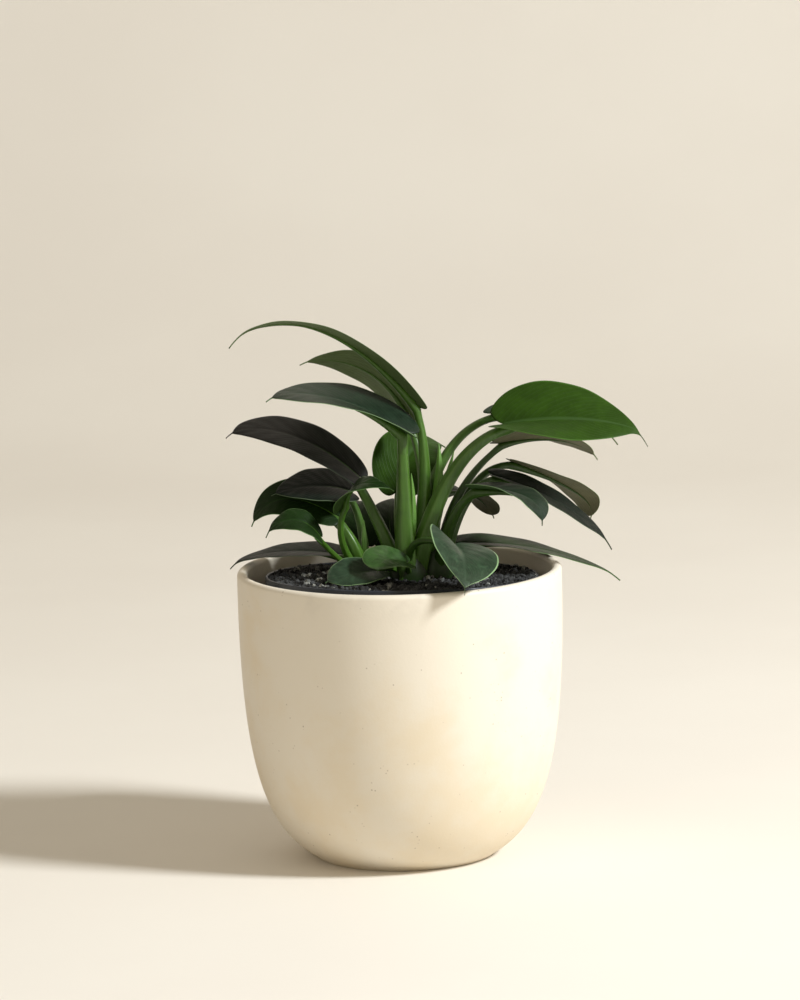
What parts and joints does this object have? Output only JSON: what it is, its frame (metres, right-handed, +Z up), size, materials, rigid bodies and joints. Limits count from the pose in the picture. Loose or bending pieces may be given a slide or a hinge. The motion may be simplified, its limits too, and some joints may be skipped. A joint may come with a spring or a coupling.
{
  "type": "potted philodendron",
  "caption": "Compact leafy house plant with dark arching pointed leaves on green stalks, in a plastic grow pot that leans inside a round-bottomed matte ceramic cover pot with a flat foot",
  "frame": {"origin": "centre of the cover pot's flat foot on the floor", "axes": "+Z up along the pot's axis, the pictured front towards -Y, +X to the right as seen from the front"},
  "size_m": [0.1941, 0.1593, 0.2519],
  "materials": {
    "glazed_ceramic": "matte cream glaze with faint specks",
    "grow_pot_plastic": "dark blue-grey moulded plastic",
    "potting_mix": "loose dark potting mix with pale angular grit",
    "stalk_tissue": "smooth waxy plant stalk, bright to deep green",
    "leaf_blade": "leathery semi-gloss leaf, dark above, paler below, with a pale margin"
  },
  "bodies": {
    "root": {"ceramic_pot": "glazed_ceramic", "nursery_pot": "grow_pot_plastic", "soil": "potting_mix", "stems_main": "stalk_tissue", "stems_left": "stalk_tissue", "leaf_01": "leaf_blade", "leaf_02": "leaf_blade", "leaf_03": "leaf_blade", "leaf_04": "leaf_blade", "leaf_05": "leaf_blade", "leaf_06": "leaf_blade", "leaf_07": "leaf_blade", "leaf_08": "leaf_blade", "leaf_09": "leaf_blade", "leaf_10": "leaf_blade", "leaf_11": "leaf_blade", "leaf_12": "leaf_blade", "leaf_13": "leaf_blade", "leaf_14": "leaf_blade", "leaf_15": "leaf_blade", "leaf_16": "leaf_blade", "leaf_17": "leaf_blade", "leaf_18": "leaf_blade", "leaf_19": "leaf_blade", "leaf_20": "leaf_blade", "leaf_21": "leaf_blade", "leaf_22": "leaf_blade", "leaf_23": "leaf_blade"}
  },
  "joints": []
}
